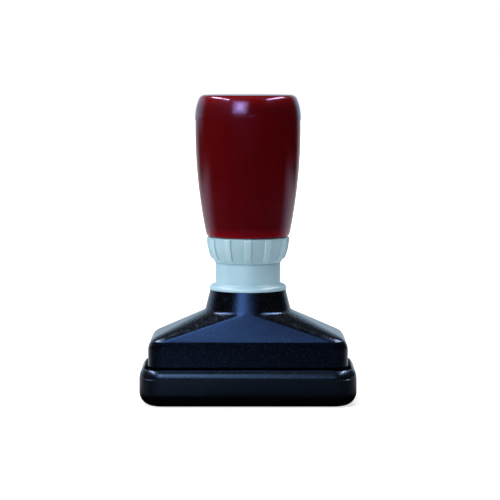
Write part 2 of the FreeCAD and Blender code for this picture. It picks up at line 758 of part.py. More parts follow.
def make_die_frame_screws():
    """Four small screws with flat heads sunk in the frame."""
    screws = []
    for place in screw_places():
        head = Part.makeCylinder(screw_head_radius, screw_head_height, place + up * frame_foot_z)
        shank = Part.makeCylinder(screw_radius, screw_length, place + up * (frame_foot_z + screw_head_height))
        slot = Part.makeBox(2 * screw_head_radius, screw_slot, screw_slot,
                            place + FreeCAD.Vector(-screw_head_radius, -screw_slot / 2, frame_foot_z))
        screws.append(head.fuse(shank).cut(slot).removeSplitter())
    return Part.makeCompound(screws)


makers = [
    make_dust_cap,
    make_outer_housing,
    make_guide_sleeve,
    make_sleeve_nut,
    make_lower_spring_washer,
    make_return_spring,
    make_grip,
    make_grip_core,
    make_threaded_insert,
    make_plunger_rod,
    make_upper_spring_washer,
    make_buffer_washer,
    make_die_carrier,
    make_carrier_nut,
    make_carrier_washer,
    make_ink_fill_plugs,
    make_ink_pad,
    make_stamp_die,
    make_die_frame,
    make_die_frame_screws,
    make_adjusting_ring,
    make_ring_o_ring,
    make_stop_nut,
]

os.makedirs("parts", exist_ok=True)
for maker in makers:
    node = maker.__name__.replace("make_", "")
    shape = maker()
    shape.exportStep(os.path.join("parts", node + ".step"))
    box = shape.BoundBox
    print(node, shape.isValid(), len(shape.Solids), round(shape.Volume, 2),
          [round(value, 2) for value in (box.XMin, box.XMax, box.YMin, box.YMax, box.ZMin, box.ZMax)])
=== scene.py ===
import bmesh
import bpy
import math
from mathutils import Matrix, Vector


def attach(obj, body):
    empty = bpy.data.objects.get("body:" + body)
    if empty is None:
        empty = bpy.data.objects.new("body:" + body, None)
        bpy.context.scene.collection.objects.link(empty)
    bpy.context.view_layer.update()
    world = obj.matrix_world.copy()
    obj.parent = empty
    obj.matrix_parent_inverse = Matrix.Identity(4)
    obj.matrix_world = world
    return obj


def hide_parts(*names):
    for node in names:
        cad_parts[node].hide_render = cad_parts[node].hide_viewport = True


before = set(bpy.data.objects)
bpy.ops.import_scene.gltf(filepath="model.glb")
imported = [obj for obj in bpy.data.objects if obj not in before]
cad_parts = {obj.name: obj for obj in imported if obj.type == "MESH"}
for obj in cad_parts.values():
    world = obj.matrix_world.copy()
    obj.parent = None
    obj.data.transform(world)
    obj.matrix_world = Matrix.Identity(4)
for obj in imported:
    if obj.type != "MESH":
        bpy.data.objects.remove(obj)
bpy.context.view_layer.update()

# The studio: a floor that the camera sees as white, darkness in front of the stamp and a bright low
# backdrop behind it. The boxes and strips that show in the gloss stand apart from the soft fills
# that light the colours.
floor_size = 6.0
floor_grey = (0.72, 0.72, 0.72)
floor_lift = 0.66
floor_lift_growth = 0.7
sheet_grey = 0.35
backdrop_direction = (-0.17, 0.985, 0)
backdrop_blue = (0.56, 0.75, 0.91)
room_dark = (0.014, 0.017, 0.022)
ceiling_dark = (0.03, 0.035, 0.045)
black = (0, 0, 0)
white = (1, 1, 1)


def feed(tree, socket, value):
    """Gives an input its value, or links it where the value is another node's output."""
    if isinstance(value, bpy.types.NodeSocket):
        tree.links.new(value, socket)
    elif socket.type == "RGBA" and len(value) == 3:
        socket.default_value = (*value, 1)
    else:
        socket.default_value = value


def add_node(tree, kind, values=(), **settings):
    """A node with its settings, and with its inputs fed."""
    node = tree.nodes.new(kind)
    for name, value in settings.items():
        setattr(node, name, value)
    for name, value in dict(values).items():
        feed(tree, node.inputs[name], value)
    return node


def maths(tree, operation, *values, clamp=False):
    """One sum; each value may be plain or another node's output."""
    node = add_node(tree, "ShaderNodeMath", operation=operation, use_clamp=clamp)
    for socket, value in zip(node.inputs, values):
        feed(tree, socket, value)
    return node.outputs[0]


def fade(tree, value, start, end):
    """Goes from 0 at the start to 1 at the end, and stays there."""
    return maths(tree, "MULTIPLY", maths(tree, "SUBTRACT", value, start), 1 / (end - start), clamp=True)


def ramp(tree, value, stops):
    """Greys or colours between stops, which are given in the value's own units."""
    start, end = stops[0][0], stops[-1][0]
    node = add_node(tree, "ShaderNodeValToRGB", {"Fac": fade(tree, value, start, end)})
    elements = node.color_ramp.elements
    while len(elements) < len(stops):
        elements.new(0.5)
    for element, (where, colour) in zip(elements, stops):
        element.position = (where - start) / (end - start)
        element.color = (*colour, 1) if isinstance(colour, tuple) else (colour, colour, colour, 1)
    return node.outputs["Color"]


def mixed(tree, blend, amount, low, high):
    """Two colours mixed; each value may be plain or another node's output."""
    node = add_node(tree, "ShaderNodeMix", data_type="RGBA", blend_type=blend)
    sockets = {socket.identifier: socket for socket in node.inputs}
    for name, value in (("Factor_Float", amount), ("A_Color", low), ("B_Color", high)):
        feed(tree, sockets[name], value)
    return next(socket for socket in node.outputs if socket.identifier == "Result_Color")


def product(tree, first, *others):
    """Colours multiplied together."""
    for other in others:
        first = mixed(tree, "MULTIPLY", 1.0, first, other)
    return first


def new_material(name):
    """An empty material, its tree and its output node."""
    material = bpy.data.materials.new(name)
    material.use_nodes = True
    material.node_tree.nodes.clear()
    return material, material.node_tree, add_node(material.node_tree, "ShaderNodeOutputMaterial")


bpy.ops.object.select_all(action="DESELECT")
bpy.ops.mesh.primitive_plane_add(size=floor_size, location=(0, 0, 0))
floor = bpy.context.object
floor.name = "studio_floor"
floor_paint, tree, output = new_material("studio floor")
rays = add_node(tree, "ShaderNodeLightPath").outputs
place = add_node(tree, "ShaderNodeTexCoord").outputs["Object"]
axes = add_node(tree, "ShaderNodeSeparateXYZ", {"Vector": place}).outputs
distance = add_node(tree, "ShaderNodeVectorMath", {"Vector": place}, operation="LENGTH").outputs["Value"]
backwards = maths(tree, "DIVIDE", axes["Y"], distance)
# In the gloss the floor is a pale sheet. It is dark under the stamp's edge, ends some 15 cm in front,
# is brighter on the left, and shows only at a low angle.
sheet_reach = ramp(tree, distance, [(0.03, 0.0), (0.06, sheet_grey), (0.13, sheet_grey),
                                    (0.26, 0.15 * sheet_grey), (0.36, 0.0)])
sheet_round = ramp(tree, backwards, [(-0.9, 1.0), (-0.5, 0.4), (0.0, 0.65), (1.0, 1.0)])
sheet_front = ramp(tree, axes["Y"], [(-0.17, 0.0), (-0.14, 1.0)])
sheet_across = ramp(tree, axes["X"], [(-0.06, 1.3), (-0.032, 2.0), (0.0, 1.0), (0.03, 0.65), (0.06, 1.0)])
sheen = ramp(tree, add_node(tree, "ShaderNodeLayerWeight").outputs["Facing"], [(0.69, 0.02), (0.82, 1.0)])
sheet = product(tree, sheet_reach, sheet_round, sheet_front, sheet_across, sheen)
# Behind the stamp it is bright at every angle: wide near by, and further off only straight back.
behind = ramp(tree, axes["Y"], [(0.0, 0.0), (0.11, 0.7)])
straight_back = ramp(tree, backwards, [(0.68, 0.0), (0.9, 1.0)])
near_by = ramp(tree, distance, [(0.38, 1.0), (0.56, 0.0)])
behind = product(tree, behind, mixed(tree, "LIGHTEN", 1.0, straight_back, near_by))
sheet = mixed(tree, "ADD", 1.0, sheet, behind)
diffuse = add_node(tree, "ShaderNodeBsdfDiffuse", {
    "Color": mixed(tree, "MIX", rays["Is Glossy Ray"], floor_grey, black)})
# To the camera it is lifted to white, a little more far from the stamp, and the shadow stays.
lift = maths(tree, "MULTIPLY", rays["Is Camera Ray"],
             maths(tree, "MULTIPLY_ADD", distance, floor_lift_growth, floor_lift))
glow = add_node(tree, "ShaderNodeEmission", {
    "Color": mixed(tree, "MIX", rays["Is Glossy Ray"], white, sheet),
    "Strength": maths(tree, "ADD", lift, rays["Is Glossy Ray"])})
both = add_node(tree, "ShaderNodeAddShader", {0: diffuse.outputs[0], 1: glow.outputs[0]})
feed(tree, output.inputs["Surface"], both.outputs[0])
floor.data.materials.append(floor_paint)

world = bpy.data.worlds.new("studio")
bpy.context.scene.world = world
world.use_nodes = True
tree = world.node_tree
tree.nodes.clear()
direction = add_node(tree, "ShaderNodeTexCoord").outputs["Generated"]
upward = add_node(tree, "ShaderNodeSeparateXYZ", {"Vector": direction}).outputs["Z"]
towards_back = add_node(tree, "ShaderNodeVectorMath", {0: direction, 1: backdrop_direction},
                        operation="DOT_PRODUCT").outputs["Value"]
# Dark in front, at the sides and overhead, and bright low down behind, a little to the left.
backdrop = product(tree, ramp(tree, towards_back, [(0.52, room_dark), (0.76, backdrop_blue)]),
                   ramp(tree, upward, [(0.28, white), (0.5, ceiling_dark)]))
seen = mixed(tree, "MIX", add_node(tree, "ShaderNodeLightPath").outputs["Is Camera Ray"], backdrop, white)
background = add_node(tree, "ShaderNodeBackground", {"Color": seen, "Strength": 1.0})
add_node(tree, "ShaderNodeOutputWorld", {"Surface": background.outputs[0]})


def soft_lamp(name, azimuth, elevation, distance, width, height, radiance, colour, in_gloss=True,
              in_diffuse=True, aim_z=0.045, grid=None):
    """A soft box that faces the stamp; azimuth 0 is in front and grows to the right, in degrees.
    A grid on the box holds its light within an angle, in degrees to each side."""
    light = bpy.data.lights.new(name, "AREA")
    light.shape = "RECTANGLE"
    light.size = width
    light.size_y = height
    light.color = colour
    light.energy = radiance * math.pi * width * height
    if grid:
        light.spread = 2 * math.radians(grid)
        light.energy *= 1 - math.radians(grid) / math.tan(math.radians(grid))
    lamp = bpy.data.objects.new(name, light)
    bpy.context.scene.collection.objects.link(lamp)
    turn, rise = math.radians(azimuth), math.radians(elevation)
    away = Vector((math.sin(turn) * math.cos(rise), -math.cos(turn) * math.cos(rise), math.sin(rise)))
    lamp.location = Vector((0, 0, aim_z)) + away * distance
    lamp.rotation_euler = away.to_track_quat("Z", "Y").to_euler()
    lamp.visible_camera = False
    lamp.visible_glossy = in_gloss
    lamp.visible_diffuse = in_diffuse


key_blue = (0.72, 0.85, 1.0)
front_fill = (0.92, 0.97, 1.0)
side_fill = (0.96, 0.98, 1.0)
soft_lamp("key", -18, 31, 0.43, 0.10, 0.12, 8.0, key_blue, in_diffuse=False)
soft_lamp("key_edge", -18, 29.5, 0.46, 0.23, 0.22, 4.6, key_blue, in_diffuse=False)
# Four small boxes with grids shine in the housing's walls and keep off the grip.
for low_azimuth, low_radiance in ((-22, 10.0), (-11, 9.0), (0, 8.0), (11, 8.5)):
    soft_lamp("low_front", low_azimuth, 14, 0.35, 0.067, 0.035, low_radiance, key_blue, in_diffuse=False,
              aim_z=0.022, grid=10)
soft_lamp("strip_left", -94, 51, 1.0, 1.0, 0.055, 62.0, white, in_diffuse=False)
soft_lamp("strip_right", 93, 51, 1.0, 1.0, 0.055, 62.0, white, in_diffuse=False)
soft_lamp("fill_front", -42, 35, 1.2, 1.0, 0.9, 3.2, front_fill, in_gloss=False)
soft_lamp("fill_left", -85, 18, 1.1, 0.7, 0.8, 1.5, front_fill, in_gloss=False)
soft_lamp("fill_right", 95, 18, 1.1, 0.7, 0.8, 0.25, side_fill, in_gloss=False)
soft_lamp("fill_top", 0, 86, 1.2, 0.9, 0.9, 3.5, side_fill, in_gloss=False)
soft_lamp("table_left", -80, -15, 0.13, 0.12, 0.02, 3.2, side_fill, in_gloss=False)
soft_lamp("table_right", 80, -15, 0.13, 0.12, 0.02, 4.6, side_fill, in_gloss=False)

# The camera stands 0.6 m in front of the stamp and a little above it.
camera_place = Vector((0.0006, -0.6, 0.1006))
camera_aim = Vector((0.0006, 0, 0.04515))
camera_data = bpy.data.cameras.new("camera")
camera_data.sensor_width = 36.0
camera_data.lens = 145.15
camera_data.clip_start = 0.01
camera = bpy.data.objects.new("camera", camera_data)
bpy.context.scene.collection.objects.link(camera)
camera.location = camera_place
camera.rotation_euler = (camera_aim - camera_place).to_track_quat("-Z", "Y").to_euler()
bpy.context.scene.camera = camera
bpy.context.scene.view_settings.view_transform = "Standard"

# Dust cap: a black ABS moulding with a rounded shoulder, a flared mouth that grips the skirt lower
# down and a big soft bottom edge; it is pulled off before stamping.
cap_half_x = 0.03213
cap_half_y = 0.01673
cap_corner = 0.00718
cap_height = 0.01095
cap_line_z = 0.0083
cap_line = 0.00005
cap_shoulder_z = 0.00849
cap_shoulder_rounding = 0.0034
cap_shoulder_draw = 0.001
cap_shoulder_steps = 12
cap_crest = 0.00025
cap_crest_bevel = 0.0001
cap_mouth_flare = 0.0012
cap_flare_z = 0.00695
cap_ledge = 0.00178
cap_ledge_z = 0.004
cap_floor_z = 0.002
cap_bottom_rounding = 0.004
cap_rub_top_z = 0.0014
cap_rub_full_z = -0.0006
cap_black = (0.0009, 0.001, 0.0018)
cap_rubbed_black = (0.03, 0.032, 0.036)
cap_dust = (0.32, 0.33, 0.35)
cap_reflection = (0.35, 0.58, 1.0)
cap_roughness = 0.22
cap_grain_depth = 0.000025


def start_mesh(name, half_x, half_y, height):
    """A box from the floor up, left in edit mode with nothing selected."""
    bpy.ops.object.select_all(action="DESELECT")
    bpy.ops.mesh.primitive_cube_add(size=2, location=(0, 0, 0))
    piece = bpy.context.object
    piece.name = name
    bpy.ops.object.mode_set(mode="EDIT")
    bpy.ops.mesh.select_all(action="SELECT")
    bpy.ops.transform.resize(value=(half_x, half_y, height / 2))
    bpy.ops.transform.translate(value=(0, 0, height / 2))
    bpy.ops.mesh.select_all(action="DESELECT")
    return piece


def select_edges(piece, wanted):
    """Selects the edges whose two ends the test accepts."""
    bpy.ops.mesh.select_mode(type="EDGE")
    bpy.ops.mesh.select_all(action="DESELECT")
    mesh = bmesh.from_edit_mesh(piece.data)
    for edge in mesh.edges:
        edge.select_set(wanted(edge.verts[0].co, edge.verts[1].co))
    bmesh.update_edit_mesh(piece.data)


def select_faces(piece, wanted):
    """Selects the faces whose middle and normal the test accepts."""
    bpy.ops.mesh.select_mode(type="FACE")
    bpy.ops.mesh.select_all(action="DESELECT")
    mesh = bmesh.from_edit_mesh(piece.data)
    mesh.normal_update()
    for face in mesh.faces:
        face.select_set(wanted(face.calc_center_median(), face.normal))
    bmesh.update_edit_mesh(piece.data)


def raise_region(height):
    """Extrudes the selected faces straight up, or down where the height is negative."""
    bpy.ops.mesh.extrude_region_move(TRANSFORM_OT_translate={"value": (0, 0, height)})


def round_edges(offset, segments):
    """Rounds the selected edges."""
    bpy.ops.mesh.bevel(offset=offset, segments=segments, profile=0.5, affect="EDGES")


def near(value, target):
    """Two lengths that are the same to a hundredth of a millimetre."""
    return abs(value - target) < 1e-5


def finish_piece(piece, material, body, nodes, smooth_angle=35):
    """Shades a piece, gives it its material, ties it to its body and hides the CAD nodes that it stands in
    for.
    """
    bpy.ops.object.mode_set(mode="OBJECT")
    bpy.ops.object.select_all(action="DESELECT")
    piece.select_set(True)
    bpy.context.view_layer.objects.active = piece
    bpy.ops.object.shade_smooth_by_angle(angle=math.radians(smooth_angle))
    piece.data.materials.clear()
    piece.data.materials.append(material)
    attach(piece, body)
    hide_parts(*nodes)


def new_group(name, values, outputs):
    """A shader node group: it takes a place on the piece and named values, and puts out masks."""
    group = bpy.data.node_groups.new(name, "ShaderNodeTree")
    group.interface.new_socket("Vector", in_out="INPUT", socket_type="NodeSocketVector")
    for title, value in values.items():
        socket = group.interface.new_socket(title, in_out="INPUT", socket_type="NodeSocketFloat")
        socket.default_value = value
    for title in outputs:
        group.interface.new_socket(title, in_out="OUTPUT", socket_type="NodeSocketFloat")
    return group, group.nodes.new("NodeGroupInput").outputs, group.nodes.new("NodeGroupOutput").inputs


def noise(tree, vector, scale, detail=2.0, roughness=0.5):
    """Noise over the object's own coordinates."""
    return add_node(tree, "ShaderNodeTexNoise", {
        "Vector": vector, "Scale": scale, "Detail": detail, "Roughness": roughness}).outputs["Fac"]


# Moulded surface: fine pits of a spark-eroded mould, and a slow unevenness of its gloss.
coarse_share = 0.37
pit_start = 0.57
speck_start = 0.56
speck_full = 0.685
mould_grain, given, found = new_group(
    "mould grain", {"Scale": 2200.0, "Coarse": 0.35, "Pits": 0.0, "Patch Scale": 90.0},
    ["Height", "Patches", "Specks"])
fine = noise(mould_grain, given["Vector"], given["Scale"], 3.0, 0.6)
coarse = noise(mould_grain, given["Vector"], maths(mould_grain, "MULTIPLY", given["Scale"], coarse_share))
pits = maths(mould_grain, "MAXIMUM", maths(mould_grain, "SUBTRACT", fine, pit_start), 0.0)
height = maths(mould_grain, "MULTIPLY", fine, maths(mould_grain, "SUBTRACT", 1.0, given["Coarse"]))
height = maths(mould_grain, "MULTIPLY_ADD", coarse, given["Coarse"], height)
height = maths(mould_grain, "SUBTRACT", height, maths(mould_grain, "MULTIPLY", pits, given["Pits"]))
feed(mould_grain, found["Height"], height)
feed(mould_grain, found["Patches"], noise(mould_grain, given["Vector"], given["Patch Scale"], 3.0))
feed(mould_grain, found["Specks"], fade(mould_grain, fine, speck_start, speck_full))

# Dust: it lies on faces that look up, thicker in some places than in others.
dust_speck_scale = 1400.0
dust_speck_start = 0.46
dust_speck_full = 0.66
dust_film_scale = 160.0
dust_layer, given, found = new_group("dust", {"Amount": 0.2}, ["Mask"])
normal = add_node(dust_layer, "ShaderNodeNewGeometry").outputs["Normal"]
upward = add_node(dust_layer, "ShaderNodeSeparateXYZ", {"Vector": normal}).outputs["Z"]
specks = noise(dust_layer, given["Vector"], dust_speck_scale, 4.0, 0.7)
specks = fade(dust_layer, specks, dust_speck_start, dust_speck_full)
film = noise(dust_layer, given["Vector"], dust_film_scale, 3.0)
cover = maths(dust_layer, "MULTIPLY_ADD", specks, 0.6, maths(dust_layer, "MULTIPLY", film, 0.4))
cover = maths(dust_layer, "MULTIPLY", cover, maths(dust_layer, "MAXIMUM", upward, 0.0))
feed(dust_layer, found["Mask"], maths(dust_layer, "MULTIPLY", cover, given["Amount"]))

# Handling marks: thin hairlines that fingers and desks leave, a little rougher than the surface.
hairline_start = 0.7
hairline_full = 0.867
hairlines, given, found = new_group("hairlines", {"Scale": 60.0}, ["Mask"])
lines = 0.0
for tilt, stretch in ((0.4, 26.0), (-1.1, 31.0), (1.9, 22.0)):
    along = add_node(hairlines, "ShaderNodeMapping", {
        "Vector": given["Vector"], "Rotation": (0.3, tilt, tilt), "Scale": (1.0, stretch, 2.0)})
    lines = maths(hairlines, "MAXIMUM", noise(hairlines, along.outputs[0], given["Scale"], 1.0), lines)
feed(hairlines, found["Mask"], fade(hairlines, lines, hairline_start, hairline_full))


def shade(colour, factor):
    """A colour made darker or paler."""
    return tuple(min(factor * part, 1) for part in colour)


def laid_over(tree, colour, mask, strength, over):
    """A colour with another laid over it where a mask is, at a strength."""
    return mixed(tree, "MIX", maths(tree, "MULTIPLY", mask, strength), colour, over)


def roughened(tree, roughness, *layers):
    """A roughness, and what each mask adds to it."""
    for mask, more in layers:
        roughness = maths(tree, "MULTIPLY_ADD", mask, more, roughness)
    return roughness


def bumped(tree, height, depth):
    """A normal that follows a height, with its depth in metres."""
    bump = add_node(tree, "ShaderNodeBump", {"Strength": 1.0, "Distance": depth, "Height": height})
    return bump.outputs[0]


def place_group(tree, group, values):
    """A group in a material, with its own values."""
    return add_node(tree, "ShaderNodeGroup", values, node_tree=group).outputs


def moulded_plastic(name, grain_values, dust_amount, marks_scale):
    """A material with grain, dust and handling marks laid out over the piece, and no shader yet."""
    material, tree, output = new_material(name)
    place = add_node(tree, "ShaderNodeTexCoord").outputs["Object"]
    axes = add_node(tree, "ShaderNodeSeparateXYZ", {"Vector": place}).outputs
    grain = place_group(tree, mould_grain, {"Vector": place, **grain_values})
    dust = place_group(tree, dust_layer, {"Vector": place, "Amount": dust_amount})["Mask"]
    marks = place_group(tree, hairlines, {"Vector": place, "Scale": marks_scale})["Mask"]
    return material, tree, output, axes, grain, dust, marks


def add_shader(tree, output, inputs):
    """The material's shader, with its inputs fed."""
    feed(tree, output.inputs["Surface"], add_node(tree, "ShaderNodeBsdfPrincipled", inputs).outputs[0])


cap_plastic, tree, output, axes, grain, dust, marks = moulded_plastic(
    "black cap plastic", {"Scale": 2600.0, "Patch Scale": 70.0}, 0.05, 55.0)
# The foot of the cap is rubbed a little paler where it slides over desks.
rubbed = maths(tree, "MULTIPLY", fade(tree, axes["Z"], cap_rub_top_z, cap_rub_full_z), grain["Patches"])
colour = mixed(tree, "MIX", grain["Patches"], shade(cap_black, 0.8), shade(cap_black, 1.25))
colour = laid_over(tree, colour, rubbed, 0.5, cap_rubbed_black)
colour = laid_over(tree, colour, dust, 1.0, cap_dust)
add_shader(tree, output, {
    "Specular IOR Level": 0.6, "Specular Tint": cap_reflection, "Base Color": colour,
    "Roughness": roughened(tree, cap_roughness, (grain["Patches"], 0.08), (marks, 0.12), (dust, 1.0)),
    "Normal": bumped(tree, grain["Height"], cap_grain_depth)})

dust_cap = start_mesh("cap_shell", cap_half_x, cap_half_y, cap_line_z)
select_edges(dust_cap, lambda a, b: near(a.x, b.x) and near(a.y, b.y))
round_edges(cap_corner, 18)
select_faces(dust_cap, lambda middle, normal: normal.z > 0.99)
# The mould's fine parting line, then the shoulder up to the narrow crest.
bpy.ops.mesh.inset(thickness=cap_line, depth=cap_line)
raise_region(cap_shoulder_z - cap_line_z - cap_line)
shoulder_bend = math.acos(1 - cap_shoulder_draw / cap_shoulder_rounding)
for step in range(cap_shoulder_steps):
    low, high = (shoulder_bend * (step + share) / cap_shoulder_steps for share in (0, 1))
    bpy.ops.mesh.inset(thickness=cap_shoulder_rounding * (math.cos(low) - math.cos(high)),
                       depth=cap_shoulder_rounding * (math.sin(high) - math.sin(low)))
bpy.ops.mesh.inset(thickness=cap_crest)
# Down the flared mouth, past the grip on the skirt, and over the ledge to the floor.
bpy.ops.mesh.inset(thickness=cap_mouth_flare, depth=cap_flare_z - cap_height)
raise_region(cap_ledge_z - cap_flare_z)
bpy.ops.mesh.inset(thickness=cap_ledge)
raise_region(cap_floor_z - cap_ledge_z)
select_edges(dust_cap, lambda a, b: near(a.z, 0) and near(b.z, 0))
round_edges(cap_bottom_rounding, 14)
# Of the crest, the long edges that run round it, and not the short ones across it.
select_edges(dust_cap, lambda a, b: near(a.z, cap_height) and near(b.z, cap_height)
             and abs(a.x - b.x) + abs(a.y - b.y) > 1.2 * cap_crest)
round_edges(cap_crest_bevel, 3)
finish_piece(dust_cap, cap_plastic, "dust_cap", ["dust_cap"])

# Outer housing: skirt, hipped roof and cone neck in one black ABS moulding with a fine
# spark-eroded grain; the roof runs from a rectangle at the eaves to a circle at the neck.
housing_half_x = 0.02955
housing_half_y = 0.01415
housing_corner = 0.0046
housing_wall = 0.0018
housing_foot_z = 0.004
roof_inside_drop = 0.7 * housing_wall
eave_z = 0.0192
neck_foot_z = 0.02735
neck_top_z = 0.0335
neck_foot_radius = 0.0128
neck_foot_bevel = 0.0007
neck_top_radius = 0.0113
neck_ledge_z = 0.029195
neck_bore = 0.00902
side_eave = 0.0045
front_eave = 0.001
corner_steps = 20
roof_flat_half_angle = 2.0
roof_steps = 5
groove_top_z = 0.0118
groove_height = 0.0018
groove_depth = 0.0004
groove_steps = 8
housing_black = (0.0005, 0.0003, 0.0005)
housing_painted_glint = (0.009, 0.01, 0.013)
housing_dust = (0.3, 0.32, 0.34)
housing_reflection = (0.21, 0.42, 1.0)
housing_roughness = 0.11
housing_grain_depth = 0.00006


def quarter_turns(flat):
    """Angles round an outline in four quarters, with a flat left at each end of a quarter."""
    steps = [step / corner_steps for step in range(corner_steps + 1)]
    return [[math.radians(start + flat + (90 - 2 * flat) * share) for share in steps]
            for start in (-90, 0, 90, 180)]


def corner_points(half_x, half_y, radius):
    """Points around a rounded rectangle, corner by corner from the front right one."""
    return [(side_x * (half_x - radius) + radius * math.cos(turn),
             side_y * (half_y - radius) + radius * math.sin(turn))
            for (side_x, side_y), turns in zip(((1, -1), (1, 1), (-1, 1), (-1, -1)), quarter_turns(0))
            for turn in turns]


def circle_points(radius):
    """Points around a circle that pair with the corner points."""
    return [(radius * math.cos(turn), radius * math.sin(turn))
            for turns in quarter_turns(roof_flat_half_angle) for turn in turns]


def roof_slope(half):
    """The roof's angle from upright, from the eave at a half width to the neck's foot."""
    return math.atan2(half - neck_foot_radius, neck_foot_z - eave_z)


def eave_reach(half, rounding, z):
    """Half width of the roof at a height, with the eave rounded."""
    slope = roof_slope(half)
    tangent = rounding * math.tan(slope / 2)
    if z <= eave_z - tangent:
        return half
    if z >= eave_z + tangent * math.cos(slope):
        return half - (z - eave_z) * math.tan(slope)
    return half - rounding + math.sqrt(rounding ** 2 - (z - eave_z + tangent) ** 2)


def eave_levels(half, rounding, count):
    """Heights at even angles around a rounded eave."""
    slope = roof_slope(half)
    start = eave_z - rounding * math.tan(slope / 2)
    return [start + rounding * math.sin(slope * step / count) for step in range(count + 1)]


def roof_points(z):
    """The housing's outline at a height, from the skirt to the neck's foot."""
    share = min(max((z - eave_z) / (neck_foot_z - eave_z), 0), 1)
    sharp_x = housing_half_x + (neck_foot_radius - housing_half_x) * share
    sharp_y = housing_half_y + (neck_foot_radius - housing_half_y) * share
    scale_x = eave_reach(housing_half_x, side_eave, z) / sharp_x
    scale_y = eave_reach(housing_half_y, front_eave, z) / sharp_y
    low_points = corner_points(housing_half_x, housing_half_y, housing_corner)
    return [((low_x + (high_x - low_x) * share) * scale_x, (low_y + (high_y - low_y) * share) * scale_y)
            for (low_x, low_y), (high_x, high_y) in zip(low_points, circle_points(neck_foot_radius))]


def ring_by_ring(name, rings):
    """A closed shell: a ring of points is extruded again and again, and the last joins the first."""
    first_z, first_points = rings[0]
    bpy.ops.object.select_all(action="DESELECT")
    bpy.ops.mesh.primitive_circle_add(vertices=len(first_points), location=(0, 0, 0))
    piece = bpy.context.object
    piece.name = name
    bpy.ops.object.mode_set(mode="EDIT")
    bpy.ops.mesh.select_mode(type="VERT")
    mesh = bmesh.from_edit_mesh(piece.data)
    # Each vertex carries its place in the ring, and an extrusion hands it on.
    place_in_ring = mesh.verts.layers.int.new("place_in_ring")
    for place, (vertex, point) in enumerate(zip(mesh.verts, first_points)):
        vertex[place_in_ring] = place
        vertex.co = (*point, first_z)
    bmesh.update_edit_mesh(piece.data)
    for z, points in rings[1:]:
        bpy.ops.mesh.extrude_edges_move(TRANSFORM_OT_translate={"value": (0, 0, 0)})
        mesh = bmesh.from_edit_mesh(piece.data)
        place_in_ring = mesh.verts.layers.int["place_in_ring"]
        for vertex in mesh.verts:
            if vertex.select:
                vertex.co = (*points[vertex[place_in_ring]], z)
        bmesh.update_edit_mesh(piece.data)
    bpy.ops.mesh.select_all(action="SELECT")
    bpy.ops.mesh.remove_doubles(threshold=1e-6)
    bpy.ops.mesh.normals_make_consistent(inside=False)
    mesh = bmesh.from_edit_mesh(piece.data)
    mesh.verts.layers.int.remove(mesh.verts.layers.int["place_in_ring"])
    return piece


def inset_skirt(inset):
    """The skirt's outline, drawn in by a length."""
    return corner_points(housing_half_x - inset, housing_half_y - inset, housing_corner - inset)


# Just above the cap a shallow groove runs round the skirt.
groove_rings = [(groove_top_z - groove_height * (groove_steps - step) / groove_steps,
                 inset_skirt(groove_depth * math.sin(math.pi * step / groove_steps)))
                for step in range(groove_steps + 1)]
both_eaves = eave_levels(housing_half_x, side_eave, 10) + eave_levels(housing_half_y, front_eave, 2)
roof_levels = sorted(set(both_eaves))
roof_levels += [roof_levels[-1] + (neck_foot_z - roof_levels[-1]) * step / roof_steps
                for step in range(1, roof_steps + 1)]
foot_ring = (housing_foot_z, roof_points(housing_foot_z))
outer_rings = [foot_ring, *groove_rings, *((z, roof_points(z)) for z in roof_levels),
               (neck_top_z, circle_points(neck_top_radius))]
inner_rings = [
    (neck_top_z, circle_points(neck_bore)),
    (neck_ledge_z, circle_points(neck_bore)),
    (neck_ledge_z, circle_points(neck_foot_radius - housing_wall)),
    (neck_foot_z - roof_inside_drop, circle_points(neck_foot_radius - housing_wall)),
    (eave_z - roof_inside_drop, inset_skirt(housing_wall)),
    (housing_foot_z, inset_skirt(housing_wall)),
    foot_ring,
]

housing_plastic, tree, output, axes, grain, dust, marks = moulded_plastic(
    "black housing plastic", {"Scale": 2700.0, "Coarse": 0.0, "Pits": 2.0, "Patch Scale": 80.0}, 0.06, 50.0)
colour = mixed(tree, "MIX", grain["Patches"], shade(housing_black, 0.75), shade(housing_black, 1.3))
# The grain's specks are painted paler and bluish: a painted glint where the grain catches the light.
colour = laid_over(tree, colour, grain["Specks"], 1.0, housing_painted_glint)
colour = laid_over(tree, colour, dust, 1.0, housing_dust)
add_shader(tree, output, {
    "Specular IOR Level": 0.6, "Specular Tint": housing_reflection, "Base Color": colour,
    "Roughness": roughened(tree, housing_roughness, (grain["Patches"], 0.04), (grain["Specks"], 0.2),
                           (marks, 0.08), (dust, 1.0)),
    "Normal": bumped(tree, grain["Height"], housing_grain_depth)})

outer_housing = ring_by_ring("housing_shell", outer_rings + inner_rings)
select_edges(outer_housing, lambda a, b: near(a.z, neck_foot_z) and near(b.z, neck_foot_z))
round_edges(neck_foot_bevel, 5)
finish_piece(outer_housing, housing_plastic, "stamp_body", ["outer_housing"], 30)

# Guide sleeve: a pale blue-grey satin moulding; its rounded flange sits on the neck, its tail is
# clamped inside by a nut, and its web carries the spring.
sleeve_radius = 0.0097
sleeve_bore = 0.0079
sleeve_tail_radius = 0.009
sleeve_tail_bore = 0.0076
sleeve_top_z = 0.0436
sleeve_tail_z = 0.0245
sleeve_rim = 0.00025
flange_radius = 0.01155
flange_top_z = 0.0351
flange_lip = 0.0013
flange_fillet = 0.00045
flange_bevel = 0.00015
web_top_z = 0.0342
web_foot_z = 0.0307
rod_hole = 0.00358
painted_ring_shadow_z = 0.0408
painted_ring_shadow_height = 0.00087
pale_blue = (0.44, 0.66, 0.77)
pale_dust = (0.42, 0.43, 0.43)
pale_grain_scale = 2400.0
pale_grain_depth = 0.00001
pale_marks_scale = 48.0
painted_ring_shadow_grey = (0.55, 0.6, 0.66)


